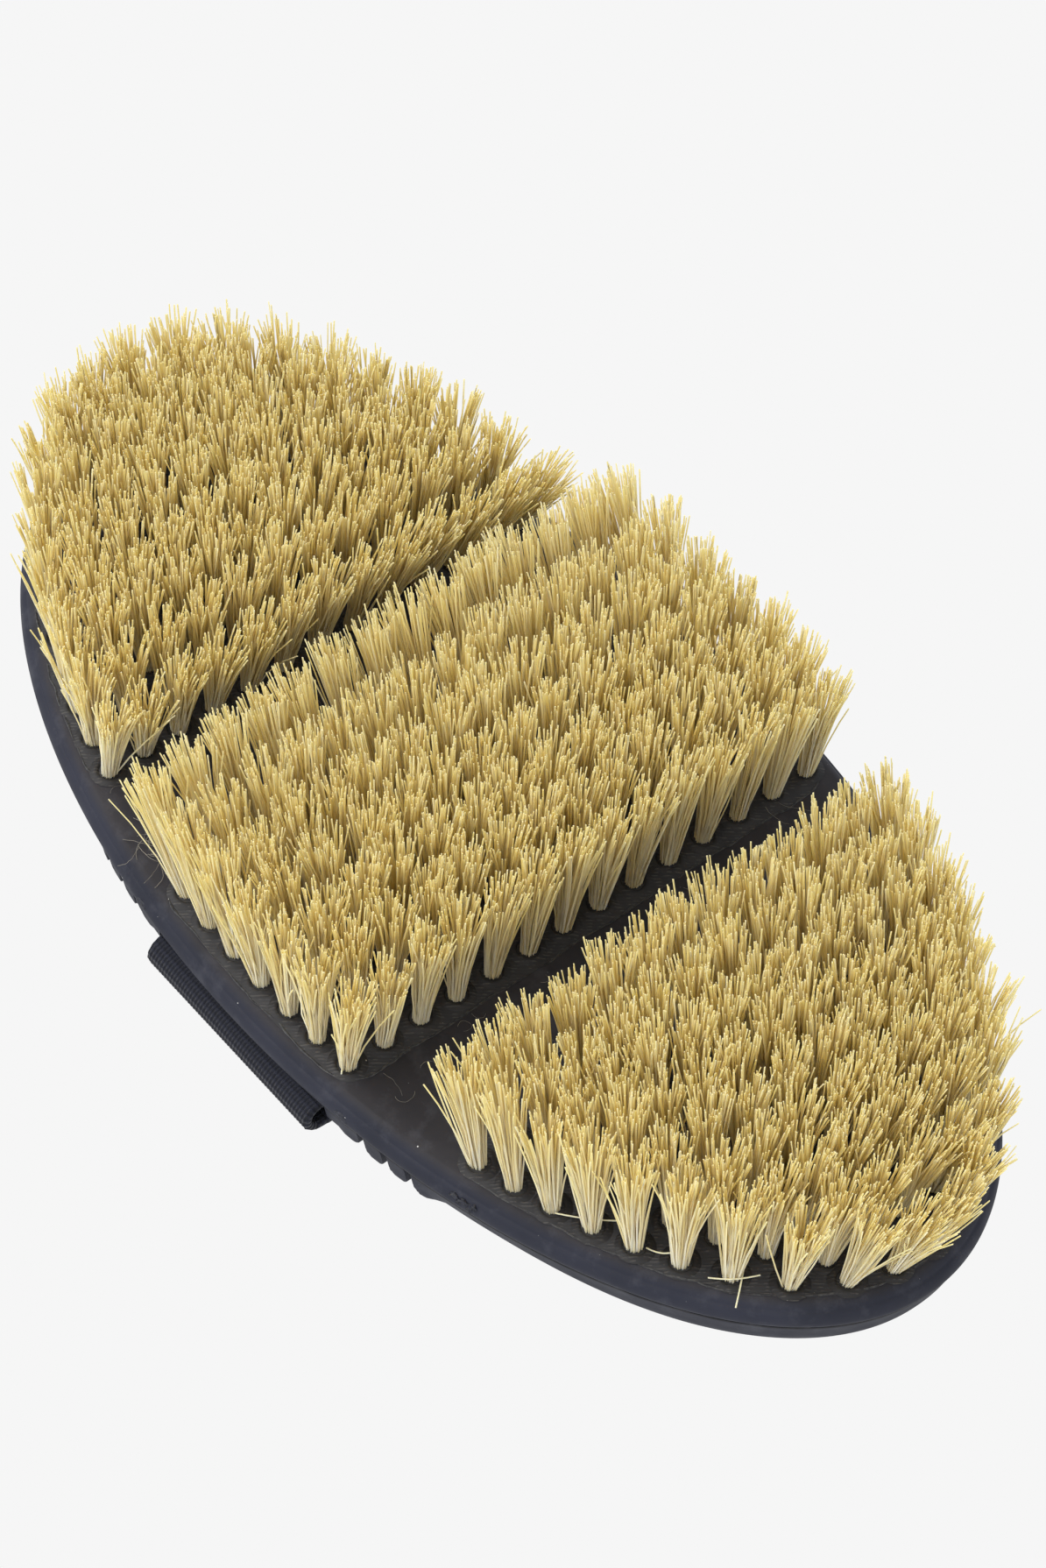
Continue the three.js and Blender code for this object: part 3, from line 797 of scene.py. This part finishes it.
def end_rows(section):
    """Eight straight rows, and four tufts that close the tip."""
    side = -1 if section == "toe" else 1
    rows = [straight_row(END_FIRST_ROW + i * END_ROW_PITCH) for i in range(8)]
    tip = []
    for i in range(4):
        y = (i - 1.5) * TUFT_PITCH
        tip.append((TUFT_HALF_LENGTH * math.sqrt(1 - (y / TUFT_HALF_WIDTH) ** 2), y))
    rows.append(tip)
    return [leaning([(side * x, y) for x, y in row], section) for row in rows]


def tuft_bristles(x, y, lean_x, lean_y, short):
    """Root point, tip point and bow of each bristle in one tuft. The tips gather into a few clumps."""
    count = BRISTLES_PER_TUFT
    radius = TUFT_ROOT_RADIUS * np.sqrt((np.arange(count) + 0.5) / count)
    angle = np.arange(count) * GOLDEN_ANGLE + draw.uniform(0, 6.28)
    offset = np.stack([radius * np.cos(angle), radius * np.sin(angle)], 1)
    root = np.column_stack([x + offset[:, 0], y + offset[:, 1], np.full(count, TUFT_ROOT_Z)])
    # 0 well inside the field of tufts and 1 at its outline, where they spread more
    outer = min(1, max(0, (x / TUFT_HALF_LENGTH) ** 2 + (y / TUFT_HALF_WIDTH) ** 2 - 0.75) * 5)
    fan = TUFT_FAN * draw.uniform(0.88, 1.12) * (1 + 0.04 * outer)
    spread = offset * fan + draw.normal(0, TIP_SCATTER + 0.15 * outer, (count, 2))
    clumps = spread[draw.choice(count, CLUMPS_PER_TUFT, replace=False)]
    nearest = np.linalg.norm(spread[:, None] - clumps[None], axis=2).argmin(1)
    spread += (clumps[nearest] - spread) * draw.uniform(0.0, 0.5, CLUMPS_PER_TUFT)[nearest, None]
    stray = draw.random(count) < STRAY_SHARE + 0.04 * outer
    spread[stray] += draw.normal(0, STRAY_SCATTER, (int(stray.sum()), 2))
    drift = draw.normal(0, TUFT_DRIFT, 2)
    tip_xy = np.array([x + lean_x, y + lean_y]) + drift + spread
    length = BRISTLE_HEIGHT + draw.normal(0, 0.35) + draw.normal(0, 0.7, CLUMPS_PER_TUFT)[nearest]
    length += draw.normal(0, 0.85, count)
    length[stray] -= draw.uniform(0, 4, int(stray.sum()))
    reach = np.linalg.norm(tip_xy - [x, y], axis=1)
    height = np.sqrt(np.maximum(200, length**2 - reach**2)) - short
    tip = np.column_stack([tip_xy, np.clip(height, SHORTEST_TIP, TALLEST_TIP)])
    bow = draw.normal(0, BOW_SCATTER, (count, 2)) - BOW_INWARD * spread
    return root, tip, bow


def bristle_mesh(tufts):
    """Three-sided bristles of all the tufts in a row as one mesh, with their tone and place along."""
    levels = np.array([0, 0.4, 0.75, 1.0])
    taper = np.array([1.05, 1.05, 1.0, 0.92])
    sides = 3
    roots, tips, bows = [np.concatenate(v) for v in zip(*[tuft_bristles(*t) for t in tufts])]
    count = len(roots)
    line = roots[:, None] + (tips - roots)[:, None] * levels[None, :, None]
    line[:, :, :2] += bows[:, None] * (4 * levels * (1 - levels))[None, :, None]
    thick = draw.uniform(THINNEST_BRISTLE, THICKEST_BRISTLE, count)[:, None] * taper[None]
    first = draw.uniform(0, 2 * math.pi, count)[:, None]
    angle = first + np.arange(sides)[None] * 2 * math.pi / sides
    ring = np.stack([np.cos(angle), np.sin(angle), np.zeros_like(angle)], 2)
    points = line[:, :, None] + thick[:, :, None, None] * ring[:, None]
    per = len(levels) * sides
    unit = np.array(grid_faces(len(levels), sides, closed_columns=True))
    faces = (unit[None] + (np.arange(count) * per)[:, None, None]).reshape(-1, 4).tolist()
    faces += [[i * per + per - sides + k for k in range(sides)] for i in range(count)]
    faces += [[i * per + k for k in range(sides)][::-1] for i in range(count)]
    tone = np.clip(draw.normal(0.5, 0.22, count), 0, 1)
    along = np.tile(np.repeat(levels, sides), count)
    return points.reshape(-1, 3), faces, {"tone": np.repeat(tone, per), "along": along}


def bristle_rows(section, rows):
    for i, tufts in enumerate(rows, 1):
        points, faces, attributes = bristle_mesh(tufts)
        row = build(f"bristles_{section}_{i}", points, faces, BRISTLE, 70, attributes)
        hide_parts(f"bristle_row_{section}_{i}")
        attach(row, section + "_section")


# Hand strap


def webbing_section():
    """The cross-section of the webbing, closed, with rounded selvedges."""
    half = WEBBING / 2
    flat = STRAP_HALF - SELVEDGE
    widths = np.linspace(-flat, flat, 150)
    over = [(x, half) for x in widths]
    turns = np.radians([60, 30, 0, -30, -60])
    edge = [(flat + SELVEDGE * math.cos(a), half * math.sin(a)) for a in turns]
    under = [(x, -half) for x in widths[::-1]]
    other = [(-x, -z) for x, z in edge]
    return np.array(over + edge + under + other)


def webbing_strip(name, path, body=None):
    """Webbing swept along a line of (y, z) points through the middle of its thickness."""
    line = smooth_path([(0, y, z) for y, z in path], 0.7)
    tangent = np.gradient(line, axis=0)
    tangent /= np.linalg.norm(tangent, axis=1)[:, None]
    normal = np.column_stack([np.zeros(len(line)), -tangent[:, 2], tangent[:, 1]])
    section = webbing_section()
    travelled = np.concatenate([[0], np.cumsum(np.linalg.norm(np.diff(line, axis=0), axis=1))])
    ridges = WEFT_RIDGE_HEIGHT * np.sin(travelled * math.pi / WEFT_RIDGE_PITCH) ** 2
    knit = KNIT_HEIGHT * np.sin(section[:, 0] * 2 * math.pi / KNIT_PITCH)
    lift = np.sign(section[:, 1]) * (np.abs(section[:, 1]) + ridges[:, None] + knit[None] - 0.1)
    points = line[:, None] + normal[:, None] * lift[:, :, None]
    points[:, :, 0] += section[None, :, 0]
    count = len(section)
    attributes = {
        "along": np.repeat(travelled, count),
        "across": np.tile(section[:, 0], len(line)),
    }
    strip = build(name, points.reshape(-1, 3), skin_faces(len(line), count), WEB, 50, attributes)
    if body:
        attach(strip, body)
    return strip


def eye_path(side, inner_end):
    """From the run that leaves the eye, round the bar, to the sewn tail under that run."""
    loop = arc(BAR_Y, BAR_Z, EYE_MID, 90, 295, 14)
    tail_z = STRAP_TOP - WEBBING * 1.5 - 0.05
    tail = [(BAR_Y + 2.6, tail_z - 1.2), (BAR_Y + 4, tail_z), (EYE_TAIL_Y, tail_z)]
    path = [(inner_end, STRAP_TOP - WEBBING / 2)] + loop + tail
    return [(side * y, z) for y, z in path]


def near_half():
    """The near strap half: its eye, the bulge at the rim, and the run that slopes down onto the far half."""
    bend = STRAP_TOP - NEAR_BEND_RADIUS
    middle = NEAR_BEND_RADIUS - WEBBING / 2
    run = [(-y, z) for y, z in arc(NEAR_BEND_Y, bend, middle, 90, -90, 20)]
    run += [(y, NEAR_RUN_BOTTOM + WEBBING / 2) for y in (-NEAR_RUN_START, -28, -15, 0, 15, STRAP_OVERLAP)]
    path = eye_path(-1, BAR_Y + 1.5)[::-1] + [(-45, STRAP_TOP - WEBBING / 2)] + run
    strip = webbing_strip("webbing_near", path, "middle_section")
    strip.data.transform(Matrix.Translation((NEAR_STRAP_OFF * 0.001, 0, 0)))
    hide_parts("strap_near_half")


def far_half():
    """The far strap half: its eye, which stays, and the flap, which bends round at the rim."""
    eye = webbing_strip("webbing_far_eye", eye_path(1, 44.5), "middle_section")
    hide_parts("strap_far_anchor")
    bend = STRAP_TOP - FAR_BEND_RADIUS
    middle = FAR_BEND_RADIUS - WEBBING / 2
    run = [(44.6, STRAP_TOP - WEBBING / 2)] + arc(FAR_BEND_Y, bend, middle, 90, -90, 20)
    run += [(y, bend - middle) for y in (40, 30, 15, 0, -15, -STRAP_OVERLAP)]
    strip = webbing_strip("webbing_far", run)
    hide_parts("strap_far_flap")
    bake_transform(strip)


def stitch_rows(name, runs, z, body):
    """Rows of thread stitches along straight runs on a flat stretch of webbing at height z."""
    pieces = Pieces()
    for (x0, y0), (x1, y1) in runs:
        length = math.hypot(x1 - x0, y1 - y0)
        count = max(1, int(length / STITCH_PITCH))
        for i in range(count):
            shares = np.linspace((i + 0.14) / count, (i + 0.86) / count, 6)
            path = np.array([(x0 + (x1 - x0) * t, y0 + (y1 - y0) * t, z) for t in shares])
            radii = 0.2 * np.sin(np.linspace(0.35, math.pi - 0.35, 6))
            pieces.add(*tube(path, radii, 6))
    row = build(name, pieces.all_points(), pieces.faces, THREAD, 60)
    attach(row, body)


def rectangle(half_x, half_y):
    corners = [(-half_x, -half_y), (half_x, -half_y), (half_x, half_y), (-half_x, half_y)]
    return [(corners[i], corners[(i + 1) % 4]) for i in range(4)]


def strap_stitching():
    box = rectangle(PATCH_HALF_WIDTH - 1.5, PATCH_HALF_LENGTH - 1.5)
    stitch_rows("stitching_near", box, NEAR_RUN_BOTTOM + WEBBING + 0.02, "middle_section")
    stitch_rows("stitching_far", box, FAR_RUN_BOTTOM + 0.14, "strap_flap")
    for side, name in ((-1, "near"), (1, "far")):
        rows = [((-STRAP_HALF + 2, side * y), (STRAP_HALF - 2, side * y)) for y in (43.6, 44.9)]
        stitch_rows("stitching_eye_" + name, rows, STRAP_TOP + 0.02, "middle_section")


def pile_pad(face, back, sink):
    """A pad with rough pile on the face at that height and a flat back. The pile is sunk by that much."""
    count_x, count_y = 46, 60
    xs = np.linspace(-PATCH_HALF_WIDTH, PATCH_HALF_WIDTH, count_x)
    ys = np.linspace(-PATCH_HALF_LENGTH, PATCH_HALF_LENGTH, count_y)
    pile = draw.uniform(-0.14, 0.0, (count_x, count_y))
    pile[[0, -1]] = -0.4
    pile[:, [0, -1]] = -0.4
    outward = 1 if face > back else -1
    depth = outward * (pile - sink)
    upper = [(x, y, face + depth[i, j]) for i, x in enumerate(xs) for j, y in enumerate(ys)]
    lower = [(x, y, back) for x in xs for y in ys]
    total = count_x * count_y
    faces = grid_faces(count_x, count_y)
    faces += [[i + total for i in f][::-1] for f in grid_faces(count_x, count_y)]
    rim = [i * count_y for i in range(count_x)] + [(count_x - 1) * count_y + j for j in range(1, count_y)]
    rim += [i * count_y + count_y - 1 for i in range(count_x - 2, -1, -1)] + list(range(count_y - 2, 0, -1))
    faces += [[rim[k], rim[k - 1], rim[k - 1] + total, rim[k] + total] for k in range(len(rim))]
    return upper + lower, faces


def hook(x, y, base):
    path = [(x, y, base), (x, y, base + 0.3), (x, y + 0.12, base + 0.45), (x, y + 0.32, base + 0.4)]
    return tube(path, 0.09, 4)


def patch(name, node, top, body, hooks):
    """A sewn patch: a soft pad of pile that faces down, or one with rows of small hooks that faces up."""
    low, high = top - PATCH_THICKNESS, top
    pieces = Pieces()
    if hooks:
        pieces.add(*pile_pad(high, low, 0.35))
        for x in np.arange(-PATCH_HALF_WIDTH + 1.2, PATCH_HALF_WIDTH - 1, HOOK_PITCH_X):
            for y in np.arange(-PATCH_HALF_LENGTH + 1.2, PATCH_HALF_LENGTH - 1, HOOK_PITCH_Y):
                pieces.add(*hook(x, y, high - 0.5))
    else:
        pieces.add(*pile_pad(low, high, 0))
    made = build(name, pieces.all_points(), pieces.faces, PATCH, 80)
    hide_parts(node)
    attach(made, body)


def closure_patches():
    patch("pile_patch", "loop_patch", NEAR_RUN_BOTTOM - 0.1, "middle_section", False)
    patch("hooked_patch", "hook_patch", FAR_RUN_BOTTOM + WEBBING + 0.1 + PATCH_THICKNESS, "strap_flap", True)


def strap_bars():
    for side, name in ((-1, "near"), (1, "far")):
        xs = [-BAR_HALF, -BAR_HALF + 0.1, -BAR_HALF + 0.4, -BAR_HALF + 0.8, 0]
        radii = [0.7, 0.95, 1.15, BAR_RADIUS, BAR_RADIUS]
        xs += [-x for x in xs[-2::-1]]
        radii += radii[-2::-1]
        points, faces = tube([(x, side * BAR_Y, BAR_Z) for x in xs], radii, 28)
        bar = build("bar_" + name, points, faces, STEEL, 30)
        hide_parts("strap_bar_" + name)
        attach(bar, "middle_section")


# Marks, painted pit shade, lint and stray hairs


def rim_point(x, side, inset, z):
    return np.array([x, side * float(half_width(x, inset)), z])


def blob(centre, size, turn, sides=12, rough=0.2):
    """A flattened lump, lying against the rim, turned to follow it."""
    rings, points = 6, []
    for i in range(1, rings):
        polar = math.pi * i / rings
        for k in range(sides):
            a = 2 * math.pi * k / sides
            grow = 1 + draw.uniform(-rough, rough)
            on_ball = (math.sin(polar) * math.cos(a), math.cos(polar), math.sin(polar) * math.sin(a))
            p = Vector([length * part for length, part in zip(size, on_ball)])
            p = Matrix.Rotation(turn, 3, "Z") @ (p * grow)
            points.append(np.array(centre) + p)
    return points, skin_faces(rings - 1, sides)


def rim_marks():
    """Dark lumps on the rim over the ends of the near bar, painted shade of pits there, and a rough blemish
    on the heel's rim.
    """
    for side, section in ((-1, "toe"), (1, "heel")):
        pieces = Pieces()
        for dx, dz, width in ((0, 0, 1.35), (1.0, -0.5, 0.9)):
            x = side * (PIT_X + dx)
            slope = math.atan2(side * 25 / HALF_LENGTH**2, 1 / HALF_WIDTH) * 1.1
            pieces.add(*blob(rim_point(x, -1, 0.25, -3.4 + dz), (width, 0.42, 0.75), slope))
        marks = build("rim_pit_shade_" + section, pieces.all_points(), pieces.faces, MARK, 60)
        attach(marks, "middle_section")
    pieces = Pieces()
    lumps = [(47.9, -2.4, 0.8), (48.8, -3.2, 0.6), (49.7, -2.6, 1.0), (50.9, -3.4, 0.8), (51.6, -2.5, 0.6)]
    for x, z, width in lumps:
        pieces.add(*blob(rim_point(x, -1, 0.3, z), (width, 0.5, 0.5), 0.27, rough=0.45))
    blemish = build("rim_blemish", pieces.all_points(), pieces.faces, MARK, 60)
    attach(blemish, "heel_section")


def hair(start, length, curl, rise):
    """A fine curling fibre that lies on the face from a point, with its heading turning as it goes."""
    steps = 14
    heading = draw.uniform(0, 2 * math.pi)
    turn = draw.normal(0, curl)
    point = np.array([start[0], start[1], HAIR_HEIGHT], float)
    path = [point.copy()]
    for i in range(steps):
        heading += turn / steps + draw.normal(0, 0.18)
        point = point + np.array([math.cos(heading), math.sin(heading), 0]) * length / steps
        point[2] = HAIR_HEIGHT + rise * abs(math.sin(3.1 * (i + 1) / steps))
        path.append(point.copy())
    return path


def inside_face(x, y):
    return abs(y) < float(half_width(x, 4.5))


def lint():
    """Loose fibres: a tangle by the near edge of the toe's flex zone, and stray ones over both flex zones."""
    for side, section in ((-1, "toe"), (1, "heel")):
        pieces = Pieces()
        if side < 0:
            for _ in range(26):
                start = draw.normal(-30.5, 1.5), draw.normal(-44.3, 1.5)
                fibre = hair(start, draw.uniform(4, 9), 3.5, draw.uniform(0.1, 1.6))
                pieces.add(*tube(fibre, 0.045, 4))
        for _ in range(46):
            x = side * draw.uniform(26, 42)
            y = draw.uniform(-47, 47)
            if inside_face(x, y):
                fibre = hair((x, y), draw.uniform(2, 7), 2.2, draw.uniform(0, 0.4))
                pieces.add(*tube(fibre, 0.028, 4))
        fibres = build("lint_" + section, pieces.all_points(), pieces.faces, LINT, 80)
        bend_with_back(fibres)


def fallen_bristles():
    """Loose bristles that lie among the near tufts, each from one place on the face to another."""
    lying = {
        "heel": [
            ((61.5, -38.6, 1.0), (70.5, -30.0, 1.8)), ((84.5, -27.5, 0.8), (89.5, -21.5, 2.0)),
            ((86.0, -21.5, 1.2), (91.0, -27.5, 0.5)), ((74.6, -31.4, 0.6), (78.4, -29.3, 2.0)),
        ],
        "middle": [((19.4, -46.2, 2.6), (21.4, -48.4, 0.3))],
    }
    for section, lines in lying.items():
        pieces = Pieces()
        for start, end in lines:
            share = np.linspace(0, 1, 9)[:, None]
            path = np.array(start) * (1 - share) + np.array(end) * share
            path += np.array([0.5, -0.5, 0.35]) * np.sin(math.pi * share)
            pieces.add(*tube(path, 0.13, 6))
        points = pieces.all_points()
        attributes = {"tone": np.full(len(points), 0.8), "along": np.full(len(points), 0.5)}
        loose = build("loose_bristles_" + section, points, pieces.faces, BRISTLE, 60, attributes)
        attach(loose, section + "_section")


# Stage, light and camera


def stage():
    """A pale floor that is clear from below, so that the back can be looked at."""
    half, below = 6.0, -0.0002
    corners = [(-half, -half, below), (half, -half, below), (half, half, below), (-half, half, below)]
    mesh = bpy.data.meshes.new("floor")
    mesh.from_pydata(corners, [], [(0, 1, 2, 3)])
    material = bpy.data.materials.new("floor")
    material.use_nodes = True
    nodes = material.node_tree.nodes
    nodes.clear()
    links = material.node_tree.links
    glow = nodes.new("ShaderNodeEmission")
    glow.inputs["Color"].default_value = srgb(*BACKDROP)
    clear = nodes.new("ShaderNodeBsdfTransparent")
    side = nodes.new("ShaderNodeNewGeometry")
    mix = nodes.new("ShaderNodeMixShader")
    out = nodes.new("ShaderNodeOutputMaterial")
    links.new(side.outputs["Backfacing"], mix.inputs[0])
    links.new(glow.outputs[0], mix.inputs[1])
    links.new(clear.outputs[0], mix.inputs[2])
    links.new(mix.outputs[0], out.inputs["Surface"])
    mesh.materials.append(material)
    floor = bpy.data.objects.new("floor", mesh)
    bpy.context.scene.collection.objects.link(floor)


def world():
    """Soft light from all round, with the backdrop's colour where the camera sees it."""
    made = bpy.data.worlds.new("studio")
    bpy.context.scene.world = made
    made.use_nodes = True
    nodes, links = made.node_tree.nodes, made.node_tree.links
    nodes.clear()
    seen = nodes.new("ShaderNodeBackground")
    seen.inputs["Color"].default_value = srgb(*BACKDROP)
    light = nodes.new("ShaderNodeBackground")
    light.inputs["Color"].default_value = (0.95, 0.97, 1.0, 1)
    light.inputs["Strength"].default_value = 0.83
    path = nodes.new("ShaderNodeLightPath")
    mix = nodes.new("ShaderNodeMixShader")
    out = nodes.new("ShaderNodeOutputWorld")
    links.new(path.outputs["Is Camera Ray"], mix.inputs[0])
    links.new(light.outputs[0], mix.inputs[1])
    links.new(seen.outputs[0], mix.inputs[2])
    links.new(mix.outputs[0], out.inputs["Surface"])


def area_light(name, place_at, size, power, colour=(1, 1, 1)):
    lamp = bpy.data.lights.new(name, "AREA")
    lamp.shape = "RECTANGLE"
    lamp.size, lamp.size_y = size
    lamp.energy = power
    lamp.color = colour
    thing = bpy.data.objects.new(name, lamp)
    thing.location = place_at
    thing.rotation_euler = (Vector((0, 0, 0.02)) - Vector(place_at)).to_track_quat("-Z", "Y").to_euler()
    bpy.context.scene.collection.objects.link(thing)


def lights():
    area_light("key", (-0.5, -0.55, 1.15), (1.2, 1.2), 15.4, (1.0, 0.985, 0.965))
    area_light("fill", (0.7, -0.9, 0.7), (1.2, 1.0), 5.0, (0.97, 0.98, 1.0))


def camera():
    data = bpy.data.cameras.new("camera")
    data.lens = LENS
    data.sensor_width = 36
    data.clip_end = 50
    thing = bpy.data.objects.new("camera", data)
    aim = (Vector(CAMERA_AIM) - Vector(CAMERA_AT)).to_track_quat("-Z", "Y").to_matrix()
    turn = aim @ Matrix.Rotation(math.radians(CAMERA_ROLL), 3, "Z")
    thing.matrix_world = Matrix.Translation(CAMERA_AT) @ turn.to_4x4()
    bpy.context.scene.collection.objects.link(thing)
    bpy.context.scene.camera = thing


camera()
stage()
world()
lights()
bpy.context.scene.view_settings.view_transform = "Standard"
bpy.context.scene.cycles.diffuse_bounces = 8

rubber_back()
sections = {
    "middle": (middle_plate_outline(), middle_rows()),
    "toe": (end_plate_outline(-1), end_rows("toe")),
    "heel": (end_plate_outline(1), end_rows("heel")),
}
for section, (outline, rows) in sections.items():
    tuft_plate(section, outline, [t for row in rows for t in row], section + "_section")
    bristle_rows(section, rows)
near_half()
far_half()
strap_stitching()
closure_patches()
strap_bars()
rim_marks()
lint()
fallen_bristles()
